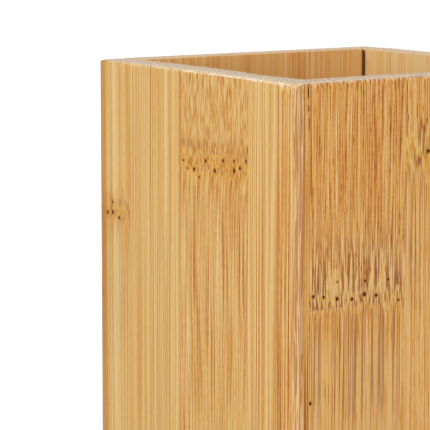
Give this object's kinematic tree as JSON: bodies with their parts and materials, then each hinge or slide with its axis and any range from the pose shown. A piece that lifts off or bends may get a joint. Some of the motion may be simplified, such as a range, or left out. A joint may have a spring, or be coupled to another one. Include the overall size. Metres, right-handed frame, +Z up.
{
  "type": "toothbrush cup",
  "caption": "Square open-topped cup of laminated bamboo with thick straight walls and gently eased edges, for standing toothbrushes by a basin.",
  "frame": {"origin": "centre of the cup's footprint, on the surface that it stands on", "axes": "+Z up through the mouth, -Y out through the front wall, -X out through the left wall"},
  "size_m": [0.07, 0.07, 0.11],
  "materials": {
    "bamboo_pale": "sanded bamboo, pale straight grain, satin clear lacquer",
    "bamboo_honey": "sanded bamboo, honey coloured with short dark dashes and one knot, satin clear lacquer",
    "bamboo_amber": "sanded bamboo, darker and redder with strong dashes and a knot, satin clear lacquer",
    "bamboo_edge": "sanded bamboo, narrow edge strip with fine brown lines, satin clear lacquer",
    "bamboo_floor": "sanded bamboo laid flat, satin clear lacquer"
  },
  "bodies": {
    "root": {"front_strip_1": "bamboo_edge", "front_strip_2": "bamboo_amber", "front_strip_3": "bamboo_amber", "front_strip_4": "bamboo_honey", "right_strip_1": "bamboo_honey", "right_strip_2": "bamboo_pale", "right_strip_3": "bamboo_honey", "right_strip_4": "bamboo_pale", "back_strip_1": "bamboo_amber", "back_strip_2": "bamboo_honey", "back_strip_3": "bamboo_amber", "back_strip_4": "bamboo_honey", "left_strip_1": "bamboo_pale", "left_strip_2": "bamboo_pale", "left_strip_3": "bamboo_honey", "left_strip_4": "bamboo_pale", "floor_strip_1": "bamboo_floor", "floor_strip_2": "bamboo_floor", "floor_strip_3": "bamboo_floor", "floor_strip_4": "bamboo_floor"}
  },
  "joints": []
}
